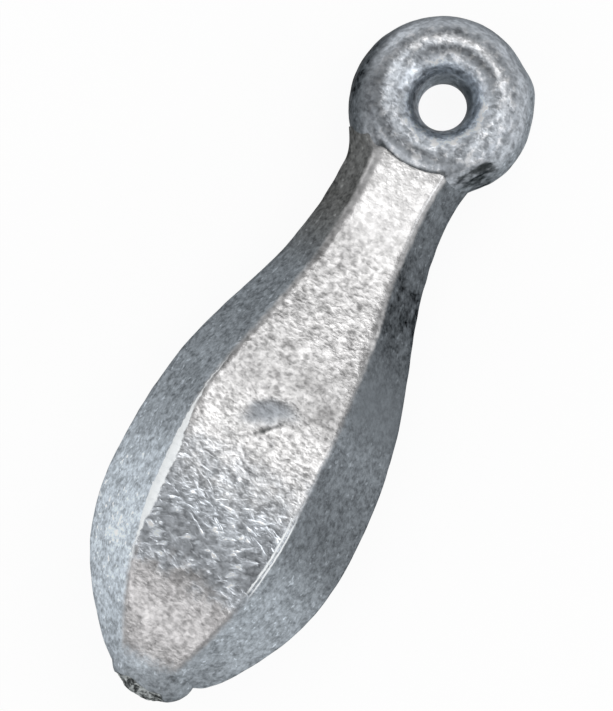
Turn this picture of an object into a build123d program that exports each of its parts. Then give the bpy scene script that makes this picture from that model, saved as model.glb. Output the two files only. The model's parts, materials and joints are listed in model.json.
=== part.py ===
from build123d import *
import math
import os

# A cast lead bank sinker, lying as it comes to rest on a bench.
# X runs from the nose to the eye, Z is up and is about the way the mould opened,
# so the casting's parting line lies about level and the hole of the eye runs up and down.
# Lengths are in millimetres. Stations run along the casting's own axis from the nose land.

# Weight body: six long facets that swell to the belly and draw in to the neck
belly_station = 21.9
neck_station = 57.5
nose_width = 8.9  # widths are across the two corners on the parting line
belly_width = 27.4
neck_width = 12.9
root_width = 13.6
nose_thickness = 7.1  # thicknesses are across the two flats made by the mould halves
belly_thickness = 22.1
neck_thickness = 10.2
root_thickness = 11.0
ridge_radius = 1.4
facet_turn = 60  # degrees from one facet to the next

# Share of the way along, and share of the swell or the drawing-in reached there
nose_curve_shares = ((0.25, 0.50), (0.54, 0.863))
neck_curve_shares = ((0.36, 0.212), (0.646, 0.671))

# Eye ring: a thick doughnut whose hole flares to both faces
eye_station = 67.9
ring_diameter = 19.5
ring_thickness = 11.4
crown_diameter = 12.3  # circle where the ring is thickest
hole_diameter = 5.1
bore_land = 4.0  # straight stretch in the middle of the hole

# Gate stub: what is left of the pouring gate after it was snapped off
gate_width = 8.0  # along the parting line
gate_thickness = 6.6
gate_height = 2.1
break_start = 0.7  # how far out the break begins, level with the stub's upper side
break_lean = 20  # degrees between the break and the nose land

overrun = 5.0  # how far a tool runs past what it cuts


# Weight body


def facet_slab(nose, belly, neck, root, turn):
    """Two opposite facets: flat across, curved along, turned about the long axis."""
    root_station = eye_station - crown_diameter / 2
    tail = neck_station - belly_station
    points = [(0, nose)]
    points += [(way * belly_station, nose + rise * (belly - nose)) for way, rise in nose_curve_shares]
    points += [(belly_station, belly)]
    points += [(belly_station + way * tail, belly - fall * (belly - neck)) for way, fall in neck_curve_shares]
    points += [(neck_station, neck), (root_station, root)]
    upper = Spline(*points)
    lower = mirror(upper, Plane.XZ)
    ends = [Line(upper @ end, lower @ end) for end in (0, 1)]
    outline = make_face([upper, lower] + ends)
    return Rot(X=turn) * extrude(outline, belly_width, both=True)


def make_weight_body():
    lean = math.cos(math.radians(facet_turn / 2))
    widths = (nose_width, belly_width, neck_width, root_width)
    thicknesses = (nose_thickness, belly_thickness, neck_thickness, root_thickness)
    flat_halves = [thickness / 2 for thickness in thicknesses]
    side_halves = [lean * width / 2 for width in widths]
    upright = 90
    body = facet_slab(*flat_halves, upright)
    for turn in (upright - facet_turn, upright + facet_turn):
        body &= facet_slab(*side_halves, turn)
    end_edges = body.faces().filter_by(Axis.X).edges()
    ridges = [edge for edge in body.edges() if edge not in end_edges]
    body = fillet(ridges, ridge_radius)
    return body - make_ring_envelope()


# Eye ring


def outer_wall():
    reach = (ring_diameter - crown_diameter) / 2
    return EllipticalCenterArc((crown_diameter / 2, 0), reach, ring_thickness / 2, -90, arc_size=180)


def turn_about_hole(edges):
    section = Plane.XZ * make_face(edges)
    return Pos(X=eye_station) * revolve(section, Axis.Z)


def make_ring_envelope():
    """The ring without its hole, which the neck's end is hollowed to fit."""
    wall = outer_wall()
    low = (0, -ring_thickness / 2)
    high = (0, ring_thickness / 2)
    return turn_about_hole([wall, Line(wall @ 1, high), Line(high, low), Line(low, wall @ 0)])


def make_eye_ring():
    crown = crown_diameter / 2
    bore = hole_diameter / 2
    land = bore_land / 2
    flare = (crown - bore, ring_thickness / 2 - land)
    upper = EllipticalCenterArc((crown, land), *flare, 90, arc_size=90)
    lower = EllipticalCenterArc((crown, -land), *flare, 180, arc_size=90)
    return turn_about_hole([outer_wall(), upper, Line(upper @ 1, lower @ 0), lower])


# Gate stub


def make_gate_stub():
    """A low oval dome on the nose land, snapped off on a slant that faces up."""
    half_ball = Rot(Y=-90) * Sphere(1, arc_size1=0, arc_size2=90, align=(Align.CENTER, Align.CENTER, Align.MIN))
    dome = scale(half_ball, by=(gate_height, gate_width / 2, gate_thickness / 2))
    reach = gate_width + overrun
    start = Pos(X=-break_start, Z=gate_thickness / 2)
    waste = start * Rot(Y=break_lean) * Pos(X=-reach / 2) * Box(reach, 2 * reach, 2 * reach)
    return dome - waste


# Lay the casting down: the eye end drops until the ring meets the bench


def lowest(shape):
    return shape.bounding_box().min.Z


body = make_weight_body()
ring = make_eye_ring()
stub = make_gate_stub()

rest_tilt = 0
for step in range(6):
    gap = lowest(Rot(Y=rest_tilt) * ring) - lowest(Rot(Y=rest_tilt) * body)
    rest_tilt += math.degrees(math.atan2(gap, eye_station - belly_station))

box = (Rot(Y=rest_tilt) * Compound([body, ring, stub])).bounding_box()
lay_down = Pos(-box.center().X, -box.center().Y, -box.min.Z) * Rot(Y=rest_tilt)

os.makedirs("parts", exist_ok=True)
for name, piece in (("weight_body", body), ("eye_ring", ring), ("gate_stub", stub)):
    export_step(lay_down * piece, f"parts/{name}.step")

eye_centre = lay_down * Pos(X=eye_station)
print("rest tilt", rest_tilt, "size", box.size)
print("eye centre", eye_centre.position, "hole runs along", Plane(eye_centre).z_dir)
print("volume", body.volume + ring.volume + stub.volume)
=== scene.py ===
import json
import math

import bpy
import numpy as np
from mathutils import Matrix, Vector


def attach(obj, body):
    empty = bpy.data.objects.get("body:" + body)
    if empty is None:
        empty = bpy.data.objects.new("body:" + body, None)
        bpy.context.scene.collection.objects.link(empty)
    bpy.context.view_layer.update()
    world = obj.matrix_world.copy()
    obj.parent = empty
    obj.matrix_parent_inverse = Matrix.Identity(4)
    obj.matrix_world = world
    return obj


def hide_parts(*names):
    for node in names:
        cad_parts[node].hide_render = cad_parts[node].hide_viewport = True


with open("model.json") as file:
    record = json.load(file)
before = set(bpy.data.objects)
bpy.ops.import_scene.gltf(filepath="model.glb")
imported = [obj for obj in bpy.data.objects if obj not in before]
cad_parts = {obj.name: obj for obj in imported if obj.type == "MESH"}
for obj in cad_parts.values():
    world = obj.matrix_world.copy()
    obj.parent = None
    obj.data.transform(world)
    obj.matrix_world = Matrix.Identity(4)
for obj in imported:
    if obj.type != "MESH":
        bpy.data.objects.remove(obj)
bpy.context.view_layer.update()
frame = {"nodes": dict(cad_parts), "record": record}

mm = 0.001
print("frame loaded:", ", ".join(sorted(frame["nodes"])))

# The casting's own axes, read from the hole of the eye: along to the eye, left, and up through the hole.
# Casting coordinates are millimetres from the nose land, so the first one is the station.
eyeStation = 67.9
eyeMount = next(mount for mount in frame["record"]["mounts"] if mount["name"] == "eye_bore")
upAxis = np.array(eyeMount["axis"]) / np.linalg.norm(eyeMount["axis"])
leftAxis = np.array([0.0, 1.0, 0.0])
alongAxis = np.cross(leftAxis, upAxis)
castingAxes = np.stack([alongAxis, leftAxis, upAxis])
noseOrigin = np.array(eyeMount["pos_m"]) - alongAxis * eyeStation * mm
droop = math.atan2(upAxis[0], upAxis[2])


def toRow(points):  # casting millimetres to row metres: turn by the axes, then shift to the nose
    return noseOrigin + mm * points @ castingAxes


# Numbers worked on whole arrays


def smooth(low, high, x):  # eased step: 3t^2 - 2t^3 of the share of the way from low to high
    t = np.clip((x - low) / (high - low), 0, 1)
    return t * t * (3 - 2 * t)


def bell(x, centre, width):  # e to the minus square of the distance in widths
    return np.exp(-((x - centre) / width) ** 2)


def turnApart(turn, degrees):  # angle between a turn and a direction, the short way round, in degrees
    return np.degrees(np.abs(np.angle(np.exp(1j * (turn - math.radians(degrees))))))


def facing(turn, degrees, spread):  # 1 towards a direction, and falling off like a bell to both sides
    return bell(turnApart(turn, degrees), 0, spread)


def bellsRound(turn, table):  # sum of bells round a turn: degrees, spread in degrees, change
    return sum(change * facing(turn, degrees, spread) for degrees, spread, change in table)


def profile(x, start, steps, bells):
    # start, plus eased steps (from, to, change) and bells (centre, width, change)
    total = start + 0 * x
    for low, high, change in steps:
        total = total + change * smooth(low, high, x)
    for centre, width, change in bells:
        total = total + change * bell(x, centre, width)
    return total


def spots(along, left, table):  # sum of oval bells: station, left, reach along, reach across, change
    return sum(change * bell(along, place, reach) * bell(left, across, spread)
               for place, across, reach, spread, change in table)


def between(first, second, share):  # first at 0, second at 1, and straight between them
    return first + (second - first) * share


def lattice(cell, seed):  # a fixed number from 0 to 1 for each whole-number cell: fraction of a large sine
    wave = np.sin(cell @ np.array([12.9898, 78.233, 37.719]) + 4.1414 * seed) * 43758.5453
    return wave - np.floor(wave)


def lumps(points, size, seed):  # from -1 to 1: the numbers at a cell's eight corners, eased between them
    place = points / np.asarray(size)
    cell = np.floor(place)
    ease = place - cell
    ease = ease * ease * (3 - 2 * ease)
    total = np.zeros(points.shape[:-1])
    for corner in np.ndindex(2, 2, 2):
        share = np.prod(np.where(np.array(corner) == 1, ease, 1 - ease), axis=-1)
        total += share * lattice(cell + np.array(corner), seed)
    return 2 * total - 1


def crumple(points, size, seed):  # lumps summed over three sizes, each half as large and half as high
    size = np.asarray(size, float)
    return sum(lumps(points, size / 2**k, seed + k) / 2**k for k in range(3)) / 1.75


def bumpy(points, mean, change, size, seed):  # mean, plus crumple times a change
    return mean + change * crumple(points, size, seed)


def curveThrough(stations, heights, x):  # natural cubic spline: bending is continuous and dies at both ends
    stations = np.asarray(stations, float)
    heights = np.asarray(heights, float)
    gap = np.diff(stations)
    slope = np.diff(heights) / gap
    system = np.eye(len(stations))
    rest = np.zeros(len(stations))
    inner = np.arange(1, len(stations) - 1)
    system[inner, inner - 1] = gap[:-1]
    system[inner, inner] = 2 * (gap[:-1] + gap[1:])
    system[inner, inner + 1] = gap[1:]
    rest[inner] = 6 * np.diff(slope)
    bend = np.linalg.solve(system, rest)
    k = np.clip(np.searchsorted(stations, x) - 1, 0, len(gap) - 1)
    near = x - stations[k]
    far = stations[k + 1] - x
    arch = (bend[k] * far**3 + bend[k + 1] * near**3) / (6 * gap[k])
    left = (heights[k] / gap[k] - bend[k] * gap[k] / 6) * far
    right = (heights[k + 1] / gap[k] - bend[k + 1] * gap[k] / 6) * near
    return arch + left + right


# Skins


def outward(points, closedRows):  # unit normals of a grid: column difference crossed with row difference
    around = np.roll(points, -1, axis=1) - np.roll(points, 1, axis=1)
    onward = np.gradient(points, axis=0)
    if closedRows:
        onward = np.roll(points, -1, axis=0) - np.roll(points, 1, axis=0)
    normal = np.cross(around, onward)
    return normal / np.maximum(np.linalg.norm(normal, axis=-1, keepdims=True), 1e-9)


def gridPiece(name, points, closedRows, marks):
    # Four neighbours of the grid make a face. Columns join up, and rows join up or end in a pole.
    rows, columns = points.shape[:2]
    index = np.arange(rows * columns).reshape(rows, columns)
    nextColumn = np.roll(index, -1, axis=1)
    count = rows if closedRows else rows - 1
    upper = np.roll(index, -1, axis=0)[:count]
    upperNext = np.roll(nextColumn, -1, axis=0)[:count]
    quads = np.stack([index[:count], nextColumn[:count], upperNext, upper], axis=-1).reshape(-1, 4)
    vertices = points.reshape(-1, 3)
    faces = quads.tolist()
    values = {key: np.broadcast_to(mark, (rows, columns)).reshape(-1) for key, mark in marks.items()}
    if not closedRows:
        first = len(vertices)
        last = first + 1
        vertices = np.concatenate([vertices, [points[0].mean(axis=0), points[-1].mean(axis=0)]])
        faces += np.stack([np.full(columns, first), nextColumn[0], index[0]], axis=-1).tolist()
        faces += np.stack([np.full(columns, last), index[-1], nextColumn[-1]], axis=-1).tolist()
        values = {key: np.append(mark, [mark[0], mark[-1]]) for key, mark in values.items()}
    mesh = bpy.data.meshes.new(name)
    placed = toRow(vertices)
    placed[:, 2] = np.maximum(placed[:, 2], 0)  # worn flat where it lies on the floor
    mesh.from_pydata(placed.tolist(), [], faces)
    for key, mark in values.items():
        mesh.attributes.new(key, "FLOAT", "POINT").data.foreach_set("value", mark.astype(np.float32))
    mesh.polygons.foreach_set("use_smooth", np.ones(len(faces), bool))
    mesh.update()
    piece = bpy.data.objects.new(name, mesh)
    bpy.context.scene.collection.objects.link(piece)
    print("made", name, "with", len(vertices), "points and", len(faces), "faces")
    return piece


def dress(piece, node, material):  # gives a skin its material, body, node and slot
    piece.data.materials.append(material)
    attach(piece, "root")
    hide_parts(node)


# Weight body: a six-sided teardrop, each facet flat across and curved along

weight = {
    "bellyStation": 21.9,
    "neckStation": 57.5,
    "rootStation": 61.75,  # the neck ends inside the ring
    "halfWidths": (4.45, 13.7, 6.45, 6.8),  # on the parting line at nose, belly, neck and root
    "halfHeights": (3.55, 11.05, 5.1, 5.15),  # of the front and back facets at the same places
    "noseShares": ((0.25, 0.50), (0.54, 0.863)),  # way from nose to belly, share of the swell
    "neckShares": ((0.36, 0.212), (0.646, 0.671)),  # way from belly to neck, share of the drawing-in
    "slip": (0.05, -0.04),  # how far the front mould half slipped left at nose and root, in half heights
    "endRound": 2.0,  # length over which the nose end is rounded
    "endDraw": 0.1,  # share by which that end is drawn in
    "ridgeRadius": (1.3, (), ((46, 15, 0.5), (2, 6, 0.8))),  # along the sinker, as a profile
    "ridgeTrim": 0.155,  # share of its radius by which a fillet trims a corner of 120 degrees
    "rows": 412,
    "flatColumns": 62,  # across the front facet, and across the back
    "sideColumns": 27,  # across each of the four side facets
    "columnDraw": 0.35,  # how much closer together columns are at the ridges
    "capRows": 6,
    "waviness": (9.0, 0.07),  # size and height of the slow unevenness
    "dimples": (2.4, 0.05),  # size and height of the quick unevenness
    "finHeight": 0.12,  # flash left along the parting line
    "finWidth": 0.2,
    "finLump": 1.3,
    "leftLean": (28.5, 7.0, 0.75),  # the front facet's left ridge stands out here: station, reach, distance
    "leanFade": (2.0, 7.0),  # how far left that begins and is full
    "dentPlace": (29.7, 0.6),  # station and left
    "dentReach": (2.6, 1.25),
    "dentTurn": 62.0,  # degrees from along to the dent's long way
    "dentDepth": 0.12,
    "dentBow": 0.35,
    "dentShift": -0.1,  # this and the crease's numbers are in the dent's reaches
    "dentLump": (1.1, 0.35),  # size and height of its ragged edge
    "creasePlace": (-0.1, -1.35),  # along the dent and across it
    "creaseReach": (1.0, 0.25),
    "creaseLean": 0.4,
    # swells and hollows of the outline: station, turn, reach along, reach round in degrees, height
    "swells": ((56, 0, 6, 40, 0.14), (54, 180, 5, 40, 0.08), (45, 0, 7, 40, -0.2), (13, 180, 5, 40, -0.13),
               (34, 180, 5, 40, -0.08), (3.4, 180, 2.4, 40, 0.32), (1.0, 180, 0.7, 30, -0.35)),
    "filletReach": 1.7,  # the neck's sides swell to meet the ring
    "filletHeights": (0.5, 0.12),  # on the left and on the right
    # brightness of the sides and of the bright skin along the sinker, as profiles: painted light and shade,
    # and the left side painted lighter than the right
    "leftTone": (0.155, ((54, 41, 0.15), (40, 30, 0.06), (29, 18, 0.28), (17, 9, 0.09), (9, 0, -0.19)), ()),
    "rightTone": (0.107, ((47, 56, 0.085), (46, 36, 0.123), (20, 11, 0.24), (8, 2, -0.09)),
                  ((30, 3.5, 0.04),)),
    "shade": (1.0, ((50, 55, 0.23), (56, 59, 0.3)),
              ((26.5, 6, 0.2), (14, 3, 0.06), (33.5, 4.5, -0.19), (40.5, 3.5, 0.11))),
    # painted shade in the dent
    "dentShade": -0.5,
    # brighter and darker places, as spots: on the front facet, added to its painted shading; a painted gleam
    # on the left side; and soot on the right
    "blotches": ((31.8, -5.0, 2.0, 2.4, -0.36), (28.3, 2.2, 1.5, 1.5, -0.34), (49.5, 1.8, 1.6, 1.5, -0.18),
                 (14.0, -5.8, 4.0, 1.6, -0.15), (20.2, 4.2, 1.8, 2.2, -0.2), (23.5, 2.0, 1.5, 1.5, 0.2),
                 (20.6, -0.6, 1.8, 1.8, 0.18), (32.0, 4.1, 1.6, 1.6, -0.2), (24.6, 5.3, 2.0, 1.6, 0.2),
                 (42.0, 5.0, 2.4, 1.2, 0.2), (15.8, -2.0, 2.2, 2.0, 0.32), (41.5, -5.8, 2.4, 1.3, 0.4),
                 (34.7, -1.6, 1.4, 1.6, -0.24)),
    "leftGleam": ((13.5, 9.3, 3.5, 1.8, 0.14),),
    "soot": ((46.0, -8.0, 3.2, 1.3, 1.0),),
    "sootLump": (2.6, 1.5, 1.5),
    # how far the bright skin runs past the two ridges of the front facet, as profiles
    "pastLeft": (0.0, ((45, 53, 0.3), (55, 58, 0.4)), ((30, 6, 0.1),)),
    "pastRight": (0.0, ((45, 53, 0.5),), ((26, 5, -0.25), (43, 4, 0.5))),
    "calmRight": (36, 4.0),  # a smoother stretch of the right side: station and reach
    "ringShadow": (0.02, 0.12),  # painted shadow, a dark line where the front facet meets the ring: distance from the ring, reach
    "dirtAndShade": (0.8, 0.6, 0.7),  # how dark the dent's crease (painted shade), the soot and that line by the ring (painted shadow) are
}


facetTurns = np.radians(np.arange(30, 390, 60))


def bodyCurve(values, x):  # spline through nose, belly, neck and root, and two shares of each stretch
    nose, belly, neck, root = values
    tail = weight["neckStation"] - weight["bellyStation"]
    stations = [0] + [way * weight["bellyStation"] for way, rise in weight["noseShares"]]
    stations += [weight["bellyStation"]]
    stations += [weight["bellyStation"] + way * tail for way, fall in weight["neckShares"]]
    stations += [weight["neckStation"], weight["rootStation"]]
    heights = [nose] + [nose + rise * (belly - nose) for way, rise in weight["noseShares"]] + [belly]
    heights += [belly - fall * (belly - neck) for way, fall in weight["neckShares"]] + [neck, root]
    return curveThrough(stations, heights, x)


def ridgePower(station, halfWidth):  # the power at which two equal distances give the fillet's trim
    return math.log(2) * halfWidth / (weight["ridgeTrim"] * profile(station, *weight["ridgeRadius"]))


def bodySection(station, turn, halfWidth, halfHeight, power):
    # Rounded hexagon in polar form: the radius is the inverse power-norm of the six facets' distances
    side = halfWidth * math.cos(math.radians(30))
    distance = np.stack([side, halfHeight, side] * 2, axis=-1)
    pull = np.maximum(np.cos(turn[..., None] - facetTurns), 0) / distance
    most = pull.max(axis=-1)
    total = ((pull / most[..., None]) ** power[..., None]).sum(axis=-1)
    radius = 1 / (most * total ** (1 / power))
    return np.stack([station, radius * np.cos(turn), radius * np.sin(turn)], axis=-1)


def facetShares(columns):  # even steps across a facet, drawn closer together at its two ridges
    share = np.arange(columns) / columns
    return share - weight["columnDraw"] * np.sin(2 * np.pi * share) / (2 * np.pi)


def dentShape(points):  # an oval hollow on the front facet, with a short crease below it
    turn = math.radians(weight["dentTurn"])
    place = points[..., :2] - np.array(weight["dentPlace"])
    longWay = (place[..., 0] * math.cos(turn) - place[..., 1] * math.sin(turn)) / weight["dentReach"][0]
    shortWay = (place[..., 0] * math.sin(turn) + place[..., 1] * math.cos(turn)) / weight["dentReach"][1]
    onFront = points[..., 2] > 0
    size, tall = weight["dentLump"]
    bowed = shortWay + weight["dentBow"] * longWay**2 + weight["dentShift"] + tall * lumps(points, size, 7)
    hollow = np.exp(-(longWay**2 + bowed**2) ** 2) * onFront
    place, across = weight["creasePlace"]
    reach, spread = weight["creaseReach"]
    crease = bell(bowed, across + weight["creaseLean"] * longWay, spread) * bell(longWay, place, reach)
    return hollow, crease * onFront


def weightRelief(points, turn, onFlat, flank, root, hollow, crease):
    # Height above the plain section: lumps, swells, the parting line's fin, the dent and the neck's fillet
    along, left, up = np.moveaxis(points, -1, 0)
    size, tall = weight["waviness"]
    rise = tall * lumps(points, size, 1)
    size, tall = weight["dimples"]
    rise += tall * crumple(points, size, 2) * (0.6 + 0.4 * onFlat)
    for place, way, reach, spread, tall in weight["swells"]:
        rise += tall * bell(along, place, reach) * facing(turn, way, spread)
    ragged = 0.5 + 0.5 * lumps(points, weight["finLump"], 5)
    rise += weight["finHeight"] * bell(up, 0, weight["finWidth"]) * (0.4 + 0.6 * ragged)
    rise -= weight["dentDepth"] * (hollow + 0.6 * crease)
    tall = np.where(left > 0, *weight["filletHeights"])
    rise += tall * flank * np.clip(1 - root / weight["filletReach"], 0, 1.5) ** 2
    return rise


def weightMarks(points, leftRidge, rightRidge, flank, root, hollow, crease):
    # What the material reads at each point: distance from the ridges, brightness with painted light and
    # shade, soot and painted shade, and smoothness
    along, left, up = np.moveaxis(points, -1, 0)
    leftTone = profile(along, *weight["leftTone"]) + spots(along, left, weight["leftGleam"])
    rightTone = profile(along, *weight["rightTone"])
    shade = profile(along, *weight["shade"]) + weight["dentShade"] * hollow
    soot = spots(along, left, weight["soot"]) * smooth(-0.1, 0.5, crumple(points, weight["sootLump"], 31))
    ringShadow = bell(root, *weight["ringShadow"]) * (1 - flank)
    creaseDark, sootDark, ringShadowDark = weight["dirtAndShade"]
    return {
        "leftRidge": np.clip(leftRidge + profile(along, *weight["pastLeft"]), -4, 4),
        "rightRidge": np.clip(rightRidge + profile(along, *weight["pastRight"]), -4, 4),
        "tone": between(leftTone, rightTone, smooth(1, -1, left)),
        "shade": shade + spots(along, left, weight["blotches"]) * (up > 0),
        "dirtAndShade": creaseDark * crease + sootDark * soot + ringShadowDark * ringShadow,
        "frost": 0 * along,
        "calm": hollow + flank * bell(along, *weight["calmRight"]) * smooth(0, -2, left),
        "cold": hollow,
    }


def makeWeight(material):
    station = np.linspace(0, weight["rootStation"], weight["rows"])
    drawn = 1 - weight["endDraw"] * np.clip(1 - station / weight["endRound"], 0, 1) ** 2
    halfWidth = bodyCurve(weight["halfWidths"], station) * drawn
    halfHeight = bodyCurve(weight["halfHeights"], station)
    ridgeSide = halfWidth - halfHeight * math.tan(math.radians(30))
    ridgeTurn = np.arctan2(halfHeight, ridgeSide)
    upper = [0 * ridgeTurn, ridgeTurn, np.pi - ridgeTurn]
    corners = upper + [corner + np.pi for corner in upper] + [upper[0] + 2 * np.pi]
    counts = [weight["sideColumns"], weight["flatColumns"], weight["sideColumns"]] * 2
    turn = np.concatenate([low[:, None] + (high - low)[:, None] * facetShares(count)
                           for low, high, count in zip(corners, corners[1:], counts)], axis=1)
    onFlat = np.repeat(np.array([0.0, 1.0, 0.0] * 2), counts)
    lines = (station, halfWidth, halfHeight)
    along, wide, high = (np.broadcast_to(line[:, None], turn.shape) for line in lines)
    points = bodySection(along, turn, wide, high, ridgePower(along, wide))
    shareUp = np.clip(points[..., 2] / high, 0, 1)
    points[..., 1] += np.interp(along, (0, weight["rootStation"]), weight["slip"]) * high * shareUp
    place, reach, far = weight["leftLean"]
    points[..., 1] += far * bell(along, place, reach) * shareUp * smooth(*weight["leanFade"], points[..., 1])
    normal = outward(points, False)
    hollow, crease = dentShape(points)
    folded = np.abs(np.angle(np.exp(1j * turn)))  # turn from the left corner, the same above and below
    reach = np.hypot(ridgeSide, halfHeight)[:, None]
    leftRidge = (folded - ridgeTurn[:, None]) * reach  # arc from the left ridges, above 0 on the flats
    rightRidge = (np.pi - ridgeTurn[:, None] - folded) * reach
    flank = smooth(0.2, 1.6, -np.minimum(leftRidge, rightRidge))
    root = np.hypot(along - eyeStation, points[..., 1]) - ringReach(points[..., 2])  # distance from the ring
    marks = weightMarks(points, leftRidge, rightRidge, flank, root, hollow, crease)
    rise = weightRelief(points, turn, onFlat, flank, root, hollow, crease)
    points = points + normal * rise[..., None]
    inner = np.linspace(0, 1, weight["capRows"], endpoint=False)[1:, None, None]
    foot = points[0].mean(axis=0) * (1 - inner) + points[0] * inner
    head = points[-1] * (1 - inner) + points[-1].mean(axis=0) * inner
    points = np.concatenate([foot, points, head])
    pad = ((len(inner), len(inner)), (0, 0))
    marks = {key: np.pad(mark, pad, mode="edge") for key, mark in marks.items()}
    piece = gridPiece("weightSkin", points, False, marks)
    dress(piece, "weight_body", material)


# Eye ring: a thick doughnut of oval section with a flared hole

ring = {
    "outerRadius": 9.75,
    "crownRadius": 6.15,
    "holeRadius": 2.58,
    "halfThickness": 5.7,
    "halfLand": 0.3,
    "flarePower": 2.1,  # 2 is an oval flare, and more is a tighter one with a flatter lip
    "holeShift": (0.09, -0.18),  # the hole is a little off the middle: along, left
    "shiftFade": (6.0, 3.0),  # radius at which that begins, and is full
    "holeOval": (0.08, -0.05),  # and a little oval: added to its radius along, and across
    "ovalFade": (5.0, 3.0),
    "sectors": 400,
    "sectionPoints": 240,
    "waviness": (5.0, 0.09),
    "dimples": (2.0, 0.06),
    "smoothWall": (2.6, 3.6),  # radius up to which the hole is smooth, and from which the skin is uneven
    "finHeight": 0.1,
    "finWidth": 0.2,
    "finLump": 1.3,
    "pocketPlace": (-125, 8.9),  # rough hollow beside the neck: degrees to the left, radius
    "pocketReach": (16, 1.0),
    "pocketDepth": 0.3,
    # mean, change and size of the unevenness of its edge, its depth and its darkness, which is painted shade
    "pocketEdge": (0.0, 0.5, 1.1),
    "pocketFloor": (0.5, 0.7, 1.4),
    "pocketShade": (0.88, 0.7, 0.9),
    # dents and swells of the rim: degrees to the left, spread, height
    "rimKnocks": ((-33, 12, -0.10), (-50, 9, 0.24), (-115, 22, -0.15), (-134, 13, -0.3), (75, 45, -0.18)),
    # brightness of the outside: start and least, then bells round the ring, which paint shade on the left and
    # by the neck and light on the right
    "tone": (0.35, 0.12),
    "toneBells": ((95, 36, -0.29), (180, 45, -0.12), (-60, 45, 0.1)),
    "neckTones": (0.18, 0.32),  # close to the neck, on the left and on the right
    "neckReach": 2.0,
    "neckStations": 4.0,  # how far beyond the neck's end that is felt
    "neckRadii": (6.4, 7.2),  # radius from which it is felt, and is full
    "wallTone": (0.44, 0.27, 135),  # of the hole's wall, painted light and shade: mean, swing, brightest towards these degrees
    "wallRadii": (3.4, 3.0),
    # height at which the bright face begins: in the hole, as the wall's tone, and outside
    "innerStart": (3.1, -0.45, 120),
    "outerStart": 3.2,
    "outerStartBells": ((108, 42, 1.7),),
    "outerRadii": (5.0, 6.5),  # radius where the inner one gives way, and the outer one is full
    "faceSlopes": (0.9, 0.5),  # arc from its edge for each millimetre of height, inside and outside
    # brightness of the face, with painted shade added on the left and by the neck, and painted light at the
    # lip
    "shade": 1.17,
    "leftShade": (105, 38, -0.65),
    "leftRadii": (5.4, 7.0),
    "neckShade": (180, 45, -0.24),
    "neckShadeRadii": (5.0, 6.0),
    "lipShade": (4.4, 0.45, 0.3),  # radius, reach, change
    # painted highlights and painted shade on the face: degrees to the left, spread, radius, reach, change
    "glints": ((20, 42, 6.55, 0.5, 0.3), (0, 55, 5.5, 0.5, -0.4), (52, 40, 3.95, 0.5, 0.8),
               (-92, 45, 4.2, 0.55, 0.85), (-70, 30, 5.3, 0.7, 0.6), (-150, 50, 4.75, 0.55, 0.8),
               (175, 50, 5.9, 0.5, -0.5), (-30, 30, 5.9, 0.5, -0.45), (100, 40, 5.4, 0.5, -0.2),
               (-170, 55, 7.1, 0.45, 0.5), (-12, 35, 3.95, 0.4, -0.15), (167, 60, 3.8, 0.5, 0.85),
               (-35, 25, 6.1, 0.35, -0.3), (-20, 40, 7.8, 0.6, -0.25), (70, 30, 7.9, 0.7, 0.25)),
    # painted shadow, a dark line where the ring meets the front facet
    "creaseReach": 0.16,
    "creaseShadow": 0.7,
    "creaseHeights": (3.6, 4.6),  # height from which it shows, and is full
    "creaseLefts": (4.6, 3.4),  # how far left it ends, and is still full
    "frostRadii": ((3.8, 4.6), (8.6, 7.4)),  # pale flecks from the lip to the rim
    "frostLoss": 0.6,  # share of them that is missing on the left
    # a smoother stretch by the neck, and a warmer tint on the painted highlight of the crown, by the glints'
    # first four numbers
    "calmNeck": (180, 40, 7.2, 0.45),
    "warmCrown": (0, 60, 6.7, 0.5),
    "warmth": 0.7,
    "calmTop": (15, 50, 0.7),  # a smoother stretch of the rim: degrees to the left, spread, share
    "calmRadii": (7.2, 8.2),  # radius from which it is felt, and is full
}


def ringSection(share):
    # Once round the section: outer half oval, upper flare to the hole, straight land, lower flare.
    # A flare is a quarter of a superellipse: sine and cosine to the power of 2 over the flare's own power.
    reach = ring["outerRadius"] - ring["crownRadius"]
    lip = ring["crownRadius"] - ring["holeRadius"]
    climb = ring["halfThickness"] - ring["halfLand"]
    quarter = np.pi / 2
    bend = 2 / ring["flarePower"]
    outer = quarter * (reach + ring["halfThickness"])
    flare = quarter * (lip + climb) / 2
    lengths = np.array([outer, flare, 2 * ring["halfLand"], flare])
    ends = np.concatenate([[0], np.cumsum(lengths)]) / lengths.sum()
    t = [np.clip((share - ends[k]) / (ends[k + 1] - ends[k]), 0, 1) for k in range(4)]
    radii = [
        ring["crownRadius"] + reach * np.sin(np.pi * t[0]),
        ring["crownRadius"] - lip * np.sin(quarter * t[1]) ** bend,
        ring["holeRadius"] + 0 * t[2],
        ring["crownRadius"] - lip * np.abs(np.cos(quarter * t[3])) ** bend,
    ]
    heights = [
        -ring["halfThickness"] * np.cos(np.pi * t[0]),
        ring["halfLand"] + climb * np.abs(np.cos(quarter * t[1])) ** bend,
        ring["halfLand"] * (1 - 2 * t[2]),
        -ring["halfLand"] - climb * np.sin(quarter * t[3]) ** bend,
    ]
    stretch = np.clip(np.searchsorted(ends, share, side="right") - 1, 0, 3)
    return np.choose(stretch, radii), np.choose(stretch, heights)


def ringReach(height):  # radius of the outer half oval at a height
    share = np.clip(height / ring["halfThickness"], -1, 1)
    return ring["crownRadius"] + (ring["outerRadius"] - ring["crownRadius"]) * np.sqrt(1 - share**2)


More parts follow.
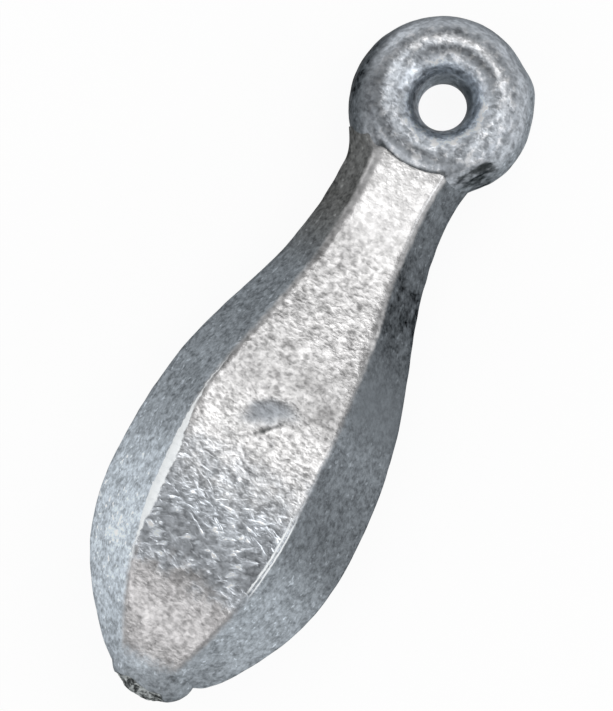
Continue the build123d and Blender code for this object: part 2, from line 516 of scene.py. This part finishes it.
def bodyDistance(points):  # distance outside the weight body: the most that any of its facets is passed by
    station = np.clip(points[..., 0], 0, weight["rootStation"])
    side = bodyCurve(weight["halfWidths"], station) * math.cos(math.radians(30))
    flat = bodyCurve(weight["halfHeights"], station)
    passed = [points[..., 1] * np.cos(turn) + points[..., 2] * np.sin(turn) - reach
              for turn, reach in zip(facetTurns, (side, flat, side) * 2)]
    return np.max(passed, axis=0)


def swing(sector, mean, change, towards):  # mean, plus a cosine that is greatest towards a direction
    return mean + change * np.cos(sector - math.radians(towards))


def ringPlace(sector, radius, degrees, spread, far, reach):  # 1 at a direction and radius, in bells both ways
    return facing(sector, degrees, spread) * bell(radius, far, reach)


def ringMarks(points, sector, radius, height, pocket):
    # What the material reads at each point: brightness round the ring, with painted light and shade, and
    # where its bright face begins
    along = points[..., 0]
    left = points[..., 1]
    start, least = ring["tone"]
    tone = np.maximum(start + bellsRound(sector, ring["toneBells"]), least)
    outside = np.maximum(bodyDistance(points), 0)
    neckEnd = weight["rootStation"]
    besideNeck = smooth(*ring["neckRadii"], radius) * smooth(neckEnd + ring["neckStations"], neckEnd, along)
    neckTone = between(*ring["neckTones"], smooth(0, -2, left))
    tone = between(tone, neckTone, bell(outside, 0, ring["neckReach"]) * besideNeck)
    tone = between(tone, swing(sector, *ring["wallTone"]), smooth(*ring["wallRadii"], radius))
    outerHalf = smooth(*ring["outerRadii"], radius)
    outerStart = ring["outerStart"] + bellsRound(sector, ring["outerStartBells"])
    start = between(swing(sector, *ring["innerStart"]), outerStart, outerHalf)
    face = between(*ring["faceSlopes"], outerHalf) * (np.abs(height) - start)
    shade = ring["shade"] + bellsRound(sector, [ring["leftShade"]]) * smooth(*ring["leftRadii"], radius)
    shade = shade + bellsRound(sector, [ring["neckShade"]]) * smooth(*ring["neckShadeRadii"], radius)
    far, reach, change = ring["lipShade"]
    shade = shade + change * bell(radius, far, reach)
    for *place, change in ring["glints"]:
        shade = shade + change * ringPlace(sector, radius, *place)
    onFront = smooth(*ring["creaseHeights"], height) * smooth(*ring["creaseLefts"], left)
    crease = bell(outside, 0, ring["creaseReach"]) * besideNeck * onFront
    pocketDark = pocket * bumpy(points, *ring["pocketShade"], 19)
    onLeft = facing(sector, *ring["leftShade"][:2])
    fromLip, toRim = ring["frostRadii"]
    frost = smooth(*fromLip, radius) * smooth(*toRim, radius)
    calmNeck = ringPlace(sector, radius, *ring["calmNeck"]) * (height > 0)
    calmTop = bellsRound(sector, [ring["calmTop"]]) * smooth(*ring["calmRadii"], radius)
    return {
        "leftRidge": face,
        "rightRidge": face,
        "tone": tone,
        "shade": shade,
        "dirtAndShade": ring["creaseShadow"] * crease + pocketDark,
        "frost": frost * (1 - ring["frostLoss"] * onLeft),
        "calm": calmNeck + calmTop,
        "cold": 1 - ring["warmth"] * ringPlace(sector, radius, *ring["warmCrown"]),
    }


def makeRing(material):
    sector = np.linspace(0, -2 * np.pi, ring["sectors"], endpoint=False)[:, None]
    radius, height = ringSection(np.arange(ring["sectionPoints"]) / ring["sectionPoints"])
    radius = np.broadcast_to(radius, (ring["sectors"], ring["sectionPoints"]))
    height = np.broadcast_to(height, radius.shape)
    onRim = smooth(ring["crownRadius"], ring["outerRadius"], radius)
    shown = radius + bellsRound(sector, ring["rimKnocks"]) * onRim
    compass = np.stack([np.cos(sector), np.sin(sector)], axis=-1)
    points = np.stack([eyeStation + shown * np.cos(sector), shown * np.sin(sector), height], axis=-1)
    points[..., :2] += smooth(*ring["shiftFade"], radius)[..., None] * np.array(ring["holeShift"])
    points[..., :2] += smooth(*ring["ovalFade"], radius)[..., None] * compass * np.array(ring["holeOval"])
    normal = outward(points, True)
    size, tall = ring["waviness"]
    rise = tall * lumps(points, size, 11)
    size, tall = ring["dimples"]
    rise += tall * crumple(points, size, 12)
    ragged = 0.5 + 0.5 * lumps(points, ring["finLump"], 15)
    fin = bell(height, 0, ring["finWidth"]) * (radius > ring["crownRadius"])
    rise += ring["finHeight"] * fin * (0.4 + 0.6 * ragged)
    rise = rise * smooth(*ring["smoothWall"], radius)
    degrees, far = ring["pocketPlace"]
    spread, reach = ring["pocketReach"]
    aside = np.hypot(turnApart(sector, degrees) / spread, (radius - far) / reach)
    aside = aside + bumpy(points, *ring["pocketEdge"], 18)
    pocket = smooth(1.4, 0.4, aside) * (height > 0)
    rise -= ring["pocketDepth"] * pocket * bumpy(points, *ring["pocketFloor"], 17)
    points = points + normal * rise[..., None]
    marks = ringMarks(points, sector, radius, height, pocket)
    piece = gridPiece("eyeSkin", points, True, marks)
    dress(piece, "eye_ring", material)


# Gate stub: what was left of the pouring gate when it was snapped off

gate = {
    "halfWidth": 5.15,
    "halfHeight": 4.6,
    "shift": -0.42,  # it sits a little to the right
    "foot": 1.5,  # station of its widest section, inside the nose
    "height": 2.1,  # reach beyond the nose
    "ridgePower": 7.0,
    "rows": 120,
    "columns": 260,
    "breakEdge": 0.97,  # how far out the break begins
    "breakLean": 0.07,  # how fast that edge moves out to the right, and in to the left
    "breakRight": (-3.5, -2.6),  # the lobe to the right of this is not broken
    "breakWander": (1.2, 0.3),  # size and reach of the edge's wandering
    "breakStep": 0.2,  # way past the edge over which the surface becomes torn
    "breakDepth": 0.22,
    "breakFade": (1.4, 0.2),  # ways past the edge where that depth ends, and is still full
    "breakRough": 0.28,
    "tornSizes": (1.2, 0.7),  # of the lumps and of the sharp creases between them
    "dimples": (1.5, 0.05),
    "edgeShadow": (0.15, 0.16, 0.9),  # painted shadow along the break's edge: way past it, reach, darkness
    "farRidge": -3.0,  # far from the bright skin
    "tone": (0.34, 0.42),  # on the right and on the left, painted lighter on the left like the body's sides
    "tipTone": -0.06,  # added towards the tip
}


def makeGate(material):
    # A dome of the body's own six-sided section, by an angle that climbs from its foot and a turn round it.
    # Seen from above it is half an ellipse, and from the side a parabola that runs on from the front facet.
    climb = np.linspace(0, np.pi / 2 * 0.99, gate["rows"])[::-1, None]
    turn = np.linspace(0, 2 * np.pi, gate["columns"], endpoint=False)[None, :]
    x = gate["foot"] - (gate["foot"] + gate["height"]) * np.sin(climb) + 0 * turn
    wide = gate["halfWidth"] * np.cos(climb) + 0 * turn
    high = gate["halfHeight"] * np.sqrt(1 - np.sin(climb)) + 0 * turn
    points = bodySection(x, turn + 0 * x, wide, high, gate["ridgePower"] + 0 * x)
    points[..., 1] += gate["shift"]
    y = points[..., 1]
    normal = outward(points, False)
    size, far = gate["breakWander"]
    wander = far * lumps(points, size, 20)
    past = -x - gate["breakEdge"] + gate["breakLean"] * y + wander  # how far past the break's edge
    onBreak = smooth(*gate["breakRight"], y)
    broken = smooth(0, gate["breakStep"], past) * onBreak
    coarse, sharp = gate["tornSizes"]
    torn = crumple(points, coarse, 21) + 0.6 * np.abs(lumps(points, sharp, 24)) - 0.3
    rise = broken * (gate["breakRough"] * torn - gate["breakDepth"] * smooth(*gate["breakFade"], past))
    size, tall = gate["dimples"]
    rise += tall * crumple(points, size, 27)
    points = points + normal * rise[..., None]
    place, reach, dark = gate["edgeShadow"]
    marks = {
        "leftRidge": gate["farRidge"] + 0 * x,
        "rightRidge": gate["farRidge"] + 0 * x,
        "tone": between(*gate["tone"], smooth(-2, 2, y)) + gate["tipTone"] * smooth(0, -2, x),
        "shade": 1 + 0 * x,
        "dirtAndShade": dark * bell(past, place, reach) * onBreak,
        "frost": 0 * x,
        "calm": 0 * x,
        "cold": 0 * x,
        "broken": broken,
    }
    piece = gridPiece("gateSkin", points, False, marks)
    dress(piece, "gate_stub", material)


# Materials


class Bench:  # adds nodes to one material's tree
    def __init__(self, tree):
        self.tree = tree
        self.tree.nodes.clear()

    def add(self, kind, settings, inputs, output=0):  # inputs are values, or wires to link
        node = self.tree.nodes.new(kind)
        for key, value in settings.items():
            setattr(node, key, value)
        for key, value in inputs.items():
            if isinstance(value, Wire):
                self.tree.links.new(value.socket, node.inputs[key])
            else:
                node.inputs[key].default_value = value
        return Wire(self, node.outputs[output]) if len(node.outputs) else None

    def mark(self, name):  # a value kept with each point of the skin
        return self.add("ShaderNodeAttribute", {"attribute_name": name}, {}, "Fac")

    def blend(self, factor, first, second):  # colours: first where the factor is 0, second where it is 1
        settings = {"data_type": "RGBA", "clamp_factor": True}
        return self.add("ShaderNodeMix", settings, {0: factor, 6: first, 7: second}, 2)

    def grey(self, value, tint):  # a colour of that brightness
        return self.add("ShaderNodeCombineColor", {}, {k: value * share for k, share in enumerate(tint)})

    def step(self, low, high, value):  # eased from 0 at low to 1 at high
        inputs = {0: value, 1: low, 2: high, 3: 0.0, 4: 1.0}
        return self.add("ShaderNodeMapRange", {"interpolation_type": "SMOOTHSTEP"}, inputs)

    def span(self, value, start, end):  # eased in over the first pair of places, and out over the second
        return self.step(*start, value) * (1 - self.step(*end, value))

    def sum(self, operation, first, second=0.0):  # a Math node
        return self.add("ShaderNodeMath", {"operation": operation}, {0: first, 1: second})

    def absolute(self, value):
        return self.sum("ABSOLUTE", value)

    def least(self, first, second):
        return self.sum("MINIMUM", first, second)

    def most(self, first, second):
        return self.sum("MAXIMUM", first, second)

    def grain(self, vector, sizes, detail, rough, bend):  # soft random pattern, about 0 to 1
        shares = tuple(1 / size for size in sizes)
        place = self.add("ShaderNodeVectorMath", {"operation": "MULTIPLY"}, {0: vector, 1: shares})
        inputs = {"Vector": place, "Scale": 1.0, "Detail": detail, "Roughness": rough, "Distortion": bend}
        return self.add("ShaderNodeTexNoise", {"noise_dimensions": "3D"}, inputs)

    def turned(self, vector, degrees):  # turned about the third axis
        inputs = {"Vector": vector, "Rotation": (0, 0, math.radians(degrees))}
        return self.add("ShaderNodeMapping", {"vector_type": "POINT"}, inputs)

    def casting(self):  # casting coordinates in millimetres, from the piece's own coordinates in metres
        own = self.add("ShaderNodeTexCoord", {}, {}, "Object")
        shift = tuple(-castingAxes @ noseOrigin / mm)
        inputs = {"Vector": own, "Location": shift, "Rotation": (0, -droop, 0), "Scale": (1 / mm,) * 3}
        return self.add("ShaderNodeMapping", {"vector_type": "POINT"}, inputs)


class Wire:  # a socket that works in sums: each operator adds a Math node
    def __init__(self, bench, socket):
        self.bench = bench
        self.socket = socket

    def __add__(self, other):
        return self.bench.sum("ADD", self, other)

    def __sub__(self, other):
        return self.bench.sum("SUBTRACT", self, other)

    def __rsub__(self, other):
        return self.bench.sum("SUBTRACT", other, self)

    def __mul__(self, other):
        return self.bench.sum("MULTIPLY", self, other)

    __radd__ = __add__
    __rmul__ = __mul__


def newMaterial(name):
    material = bpy.data.materials.new(name)
    material.use_nodes = True
    return material, Bench(material.node_tree)


castSkin = {
    # shares of red, green and blue in a grey, and whole colours
    "neutral": (1.0, 0.995, 1.0),  # bright skin
    "cool": (0.935, 1.0, 1.08),  # bright skin round the belly, in the dent and on the ring
    "pink": (1.008, 0.995, 1.004),  # bright skin by the nose
    "bluish": (0.91, 1.0, 1.085),  # sides
    "greyish": (0.98, 1.0, 0.99),  # left side of the neck
    # colour of the painted highlight on the ridges
    "ridgeHighlightColour": (0.95, 0.985, 1.0, 1),
    # dark colour of soot and of painted shade
    "dirtAndShadeColour": (0.014, 0.018, 0.018, 1),
    "edgeTint": (0.28, 0.28, 0.28, 1),  # how bright lead stays when seen along its surface
    "skinTone": 0.42,
    "rough": 0.46,
    "crinkleDepth": 0.06,  # millimetres
    # patterns: size in millimetres along, left and up, then detail, roughness and bend
    "patterns": {
        "ragged": ((0.8, 0.8, 0.8), 3.0, 0.6, 0.0),
        "fine": ((0.36, 0.36, 0.36), 2.0, 0.6, 0.0),
        "grains": ((0.468, 0.676, 0.676), 1.5, 0.55, 0.3),
        "mottle": ((0.95, 0.95, 0.95), 2.0, 0.55, 0.5),
        "patches": ((1.7, 1.7, 1.7), 3.0, 0.55, 0.4),
        "clouds": ((6.0, 6.0, 6.0), 2.0, 0.5, 0.0),
        "flecks": ((0.85, 0.85, 0.85), 2.0, 0.55, 0.2),
        "specks": ((0.6, 0.6, 0.6), 1.0, 0.5, 0.0),
        "streaks": ((0.6, 0.9, 0.9), 3.0, 0.6, 0.4),
        "blots": ((1.2, 1.8, 1.8), 3.0, 0.6, 0.3),
    },
    # value at which a pattern begins to show, and at which it is full
    "steps": {
        "fine": (0.3, 0.7),
        "grains": (0.32, 0.66),
        "mottle": (0.34, 0.66),
        "patches": (0.3, 0.7),
        "flecks": (0.44, 0.72),
        "specks": (0.62, 0.72),
        "streaks": (0.3, 0.7),
        "blots": (0.34, 0.66),
    },
    "flakes": ((1.6, 0.56, 0.56), 2.0, 0.5, 0.5),
    "flakeStep": (0.49, 0.76),
    "flakeClusters": ((2.0, 2.0, 2.0), 1.0, 0.5, 0.0),
    "clusterStep": (0.38, 0.58),
    "flakeTurns": (-62, -90, -115),  # degrees
    "blotchShares": (0.42, 0.33, 0.25),  # of grains, mottle and patches in the bright skin
    "soilShares": (0.4, 0.4, 0.25),  # of streaks, fine and blots on the sides
    "darkTone": (0.1, 0.18),  # sides are darkest up to this brightness, and not dark from this one
    "darkPatches": (0.34, 0.66),
    "speckPatches": (0.42, 0.58),
    "highlightStreaks": (0.35, 0.6),
    "dirtAndShadeStep": (0.15, 0.95),
    # stations where a look is eased in, and where it is eased out
    "belly": ((8.0, 12.0), (17.0, 27.0)),  # darker by painted shade, with flakes
    "blush": (7.5, 11.5),  # only out
    "neck": ((47.0, 55.0), (59.5, 61.0)),  # finer skin
    "leftNeck": (44.0, 54.0),  # only in
    "leftStep": (0.5, 2.0),  # by how much the right ridge's arc passes the left one's on a left side
    "skinStart": (0.6, 2.4),
    "skinEdge": (-0.6, 0.35),  # arc from the ridges where the bright skin begins, and where it is full
    # painted highlights on the ridges: a band on the left, and two thin lines on the right
    "bandHalf": (0.07, 0.56),  # half width at its ends, and what is added in the middle
    "bandMiddle": ((10.5, 17.0), (21.5, 29.0)),
    "bandEnds": ((6.0, 13.0), (30.0, 35.0)),
    "bandEdge": (-0.1, 0.1),
    "lineApart": 0.22,  # arc from the ridge to each line
    "lineEdge": (0.06, 0.16),
    "lineEnds": ((11.0, 13.0), (19.0, 22.0)),
    # kept at each point: arcs from the ridges, brightness of sides and skin with painted light and shade,
    # soot and painted shade, flecks, calm and cold
    "marks": ("leftRidge", "rightRidge", "tone", "shade", "dirtAndShade", "frost", "calm", "cold"),
}


def castPatterns(bench, place):  # the patterns by name, then eased ones, with flakes that lie several ways
    found = {name: bench.grain(place, *values) for name, values in castSkin["patterns"].items()}
    eased = {name: bench.step(*places, found[name]) for name, places in castSkin["steps"].items()}
    eased["flakes"] = 0.0
    for degrees in castSkin["flakeTurns"]:
        lying = bench.turned(place, degrees)
        cluster = bench.step(*castSkin["clusterStep"], bench.grain(lying, *castSkin["flakeClusters"]))
        flakes = cluster * bench.step(*castSkin["flakeStep"], bench.grain(lying, *castSkin["flakes"]))
        eased["flakes"] = bench.most(eased["flakes"], flakes)
    return found, eased


def shared(shares, patterns):  # sum of each pattern times its share
    return sum(share * pattern for share, pattern in zip(shares, patterns))


def brightSkin(bench, station, marks, found, eased):  # colour and relief of the crinkled skin, with painted light and shade from its shade mark
    shade = marks["shade"]
    frost = marks["frost"]
    patches = found["patches"]
    clouds = found["clouds"] - 0.5
    wander = station + 9.0 * (patches - 0.5) + 8.0 * clouds  # stations with a ragged edge
    belly = bench.span(wander, *castSkin["belly"])
    blush = 1 - bench.step(*castSkin["blush"], wander)
    neck = bench.span(station, *castSkin["neck"])
    blotch = shared(castSkin["blotchShares"], [eased[name] for name in ("grains", "mottle", "patches")])
    flecks = eased["flecks"] * frost
    flakes = eased["flakes"] * belly
    contrast = (0.5 - 0.26 * neck - 0.15 * frost) * (1 - 0.6 * marks["calm"]) * (1 - 0.1 * belly)
    uneven = contrast * (blotch - 0.5) + 0.2 * clouds + 0.25 * flecks - 0.08 * frost
    bright = shade * (castSkin["skinTone"] + uneven) * (1 - 0.07 * belly) + 0.7 * flakes * shade
    cool = bench.most(belly * 0.9, marks["cold"] * (1 - 0.7 * flecks))
    colour = bench.blend(cool, bench.grey(bright, castSkin["neutral"]), bench.grey(bright, castSkin["cool"]))
    pink = bench.grey(shade * (0.24 + 0.44 * blotch), castSkin["pink"])
    relief = (0.9 * found["grains"] + 1.2 * patches) * (1 - 0.4 * neck) + 0.5 * flakes + 0.35 * flecks
    return bench.blend(blush, colour, pink), relief


def shadedSides(bench, station, marks, found, eased):
    # Colour of the sides: fine mottling, blots, specks and flakes, on a tone that holds painted light and
    # shade
    tone = marks["tone"]
    calm = marks["calm"]
    dark = 1 - bench.step(*castSkin["darkTone"], tone)
    soil = shared(castSkin["soilShares"], [eased[name] for name in ("streaks", "fine", "blots")])
    soil = soil + (0.4 * dark - 0.6 * calm) * (soil - 0.52)
    soil = soil + 0.9 * dark * (bench.step(*castSkin["darkPatches"], found["patches"]) - 0.5)
    specks = eased["specks"] * bench.step(*castSkin["speckPatches"], found["patches"])
    bright = tone * (0.46 + soil + 0.7 * specks * (1 - calm) + 0.3 * eased["flakes"] * dark)
    onLeft = bench.step(*castSkin["leftStep"], marks["rightRidge"] - marks["leftRidge"])
    leftNeck = bench.step(*castSkin["leftNeck"], station) * onLeft
    colours = [bench.grey(bright, castSkin[name]) for name in ("bluish", "greyish")]
    return bench.blend(leftNeck, *colours)


def ridgeHighlights(bench, station, marks, stray):  # 1 on the left ridge's band and the right ridge's two lines of painted highlight
    narrow, added = castSkin["bandHalf"]
    half = narrow + added * bench.span(station, *castSkin["bandMiddle"])
    aside = bench.absolute(marks["leftRidge"] + 0.8 * stray)
    band = 1 - bench.step(*castSkin["bandEdge"], aside - half)
    start, end = castSkin["bandEnds"]
    band = band * bench.step(*start, station + 8.0 * stray) * (1 - bench.step(*end, station))
    apart = bench.absolute(marks["rightRidge"]) - castSkin["lineApart"]
    lines = 1 - bench.step(*castSkin["lineEdge"], bench.absolute(apart + 0.3 * stray))
    return bench.most(band, lines * bench.span(station, *castSkin["lineEnds"]))


def castLook(bench, place):  # colour, roughness, height and metal share of the cast surface
    station = bench.add("ShaderNodeSeparateXYZ", {}, {0: place}, "X")
    marks = {name: bench.mark(name) for name in castSkin["marks"]}
    found, eased = castPatterns(bench, place)
    stray = found["ragged"] - 0.5
    skin, relief = brightSkin(bench, station, marks, found, eased)
    sides = shadedSides(bench, station, marks, found, eased)
    edge = bench.least(marks["leftRidge"], marks["rightRidge"]) + 0.8 * stray
    onSkin = bench.step(*castSkin["skinEdge"], edge)
    onSkin = onSkin * bench.step(*castSkin["skinStart"], station + 2.0 * stray)
    # bright skin on the flats and the ring's face, darker sides elsewhere: the difference is partly painted
    # light and shade
    base = bench.blend(onSkin, sides, skin)
    # soot, and painted shade in the creases, the pocket and along the break's edge, darken the colour
    dirtAndShadeShare = bench.step(*castSkin["dirtAndShadeStep"], marks["dirtAndShade"] + 0.7 * stray)
    base = bench.blend(dirtAndShadeShare * 0.9, base, castSkin["dirtAndShadeColour"])
    # painted highlight on the ridges: near white, less metallic, smoother and with less relief
    ridgeHighlight = ridgeHighlights(bench, station, marks, stray)
    streakedHighlight = ridgeHighlight * (0.8 + 0.2 * bench.step(*castSkin["highlightStreaks"], found["streaks"]))
    base = bench.blend(streakedHighlight, base, castSkin["ridgeHighlightColour"])
    rough = castSkin["rough"] - 0.12 * onSkin - 0.12 * ridgeHighlight
    rough = rough + 0.2 * (found["fine"] - 0.5) + 0.08 * marks["frost"]
    height = relief * (0.45 + 0.55 * onSkin) * (1 - 0.8 * ridgeHighlight) + 0.3 * found["fine"]
    return base, rough, height, 1 - ridgeHighlight


def finishMetal(bench, base, rough, height, metal):  # a metal whose normal leans with the crinkles' height
    depth = castSkin["crinkleDepth"] * mm
    normal = bench.add("ShaderNodeBump", {}, {"Strength": 1.0, "Distance": depth, "Height": height})
    inputs = {"Base Color": base, "Metallic": metal, "Roughness": rough, "Normal": normal}
    inputs["Specular Tint"] = castSkin["edgeTint"]
    shader = bench.add("ShaderNodeBsdfPrincipled", {}, inputs)
    bench.add("ShaderNodeOutputMaterial", {}, {"Surface": shader})


def castLead():
    material, bench = newMaterial("castLead")
    finishMetal(bench, *castLook(bench, bench.casting()))
    return material


tornLead = {
    "crumbs": ((0.8, 0.8, 0.8), 3.0, 0.6, 0.5),  # a pattern, as those of the cast skin
    "dark": (0.05, 0.055, 0.055, 1),
    "bright": (0.5, 0.53, 0.53, 1),
    "relief": 2.0,
}


def brokenLead():  # the cast surface, torn where the gate snapped off
    material, bench = newMaterial("brokenLead")
    place = bench.casting()
    base, rough, height, metal = castLook(bench, place)
    broken = bench.mark("broken")
    crumbs = bench.grain(place, *tornLead["crumbs"])
    tornColour = bench.blend(bench.step(0.38, 0.64, crumbs), tornLead["dark"], tornLead["bright"])
    base = bench.blend(broken, base, tornColour)
    finishMetal(bench, base, rough, height + tornLead["relief"] * crumbs * broken, metal)
    return material


# Stage: pale floor, soft lights and the camera above

view = {
    "frame": (613, 711),
    "pixelsPerMm": 9.505,
    "distance": 1000.0,
    "aimStation": 37.96,  # what the middle of the picture looks at
    "aimLeft": 0.48,
    "axisTurn": 62.83,  # degrees from the picture's horizontal up to the sinker's axis
    "sideTilt": 3.0,  # degrees the camera stands to the sinker's right
}


def makeCamera():
    tilt = math.radians(view["sideTilt"])
    turn = math.radians(view["axisTurn"])
    back = Vector((0, -math.sin(tilt), math.cos(tilt)))
    ahead = Vector((1, 0, 0))
    side = back.cross(ahead)
    right = ahead * math.cos(turn) - side * math.sin(turn)
    up = ahead * math.sin(turn) + side * math.cos(turn)
    aim = Vector(toRow(np.array([view["aimStation"], view["aimLeft"], 0.0])))
    data = bpy.data.cameras.new("camera")
    tall = max(view["frame"]) / view["pixelsPerMm"]
    data.lens = data.sensor_width * view["distance"] / tall
    data.clip_end = 10
    camera = bpy.data.objects.new("camera", data)
    bpy.context.scene.collection.objects.link(camera)
    turned = Matrix((right, up, back)).transposed().to_4x4()
    camera.matrix_world = Matrix.Translation(aim + back * view["distance"] * mm) @ turned
    bpy.context.scene.camera = camera


softBoxes = {
    # towards: along to the eye, left, up; wide and deep in metres; radiance; colour
    "keyLight": ((0.5, -0.12, 0.87), (0.75, 0.36), 2.0, (1, 0.99, 0.98)),
    "noseLight": ((-0.75, 0.1, 0.66), (0.6, 0.3), 1.2, (1, 0.985, 0.98)),
    "leftLight": ((-0.35, 0.8, 0.5), (0.5, 0.4), 0.5, (0.97, 0.98, 1)),
    "rightLight": ((0.1, -0.86, 0.5), (0.5, 0.3), 1.5, (0.97, 0.98, 1)),
}

studio = {
    "lightReach": 0.7,  # metres from the sinker to each light
    "floorHalf": 3.0,  # metres from the sinker to the floor's edges
    "floorColour": (0.94, 0.94, 0.94, 1),
    "white": (1, 1, 1, 1),
    "whiteShare": 0.92,  # of the floor as the camera sees it, and the rest keeps the shadow
    "skyStrengths": (0.5, 1.0),  # as a light, and as the camera sees it
}


def makeLights():
    for name, (towards, size, radiance, colour) in softBoxes.items():
        data = bpy.data.lights.new(name, "AREA")
        data.shape = "RECTANGLE"
        data.size, data.size_y = size
        data.energy = radiance * math.pi * size[0] * size[1]
        data.color = colour
        light = bpy.data.objects.new(name, data)
        direction = Vector(towards).normalized()
        light.location = direction * studio["lightReach"]
        light.rotation_euler = (-direction).to_track_quat("-Z", "Y").to_euler()
        light.visible_camera = False
        bpy.context.scene.collection.objects.link(light)


def makeFloor():
    half = studio["floorHalf"]
    corners = [(-half, -half, 0), (half, -half, 0), (half, half, 0), (-half, half, 0)]
    mesh = bpy.data.meshes.new("floor")
    mesh.from_pydata(corners, [], [(0, 1, 2, 3)])
    floor = bpy.data.objects.new("floor", mesh)
    bpy.context.scene.collection.objects.link(floor)
    material, bench = newMaterial("whiteFloor")
    shown = sum(bench.add("ShaderNodeLightPath", {}, {}, ray)
                for ray in ("Is Camera Ray", "Is Glossy Ray", "Is Transmission Ray"))
    matt = bench.add("ShaderNodeBsdfDiffuse", {}, {"Color": studio["floorColour"]})
    white = bench.add("ShaderNodeEmission", {}, {"Color": studio["white"], "Strength": 1.0})
    mixed = bench.add("ShaderNodeMixShader", {}, {0: shown * studio["whiteShare"], 1: matt, 2: white})
    bench.add("ShaderNodeOutputMaterial", {}, {"Surface": mixed})
    mesh.materials.append(material)


def makeSky():
    world = bpy.data.worlds.new("studio")
    bpy.context.scene.world = world
    world.use_nodes = True
    bench = Bench(world.node_tree)
    asLight, asSeen = studio["skyStrengths"]
    seen = bench.add("ShaderNodeLightPath", {}, {}, "Is Camera Ray")
    strength = asLight + (asSeen - asLight) * seen
    sky = bench.add("ShaderNodeBackground", {}, {"Color": studio["white"], "Strength": strength})
    bench.add("ShaderNodeOutputWorld", {}, {"Surface": sky})
    bpy.context.scene.view_settings.view_transform = "Standard"


lead = castLead()
makeWeight(lead)
makeRing(lead)
makeGate(brokenLead())
makeCamera()
makeLights()
makeFloor()
makeSky()
print("camera, lights and floor set")
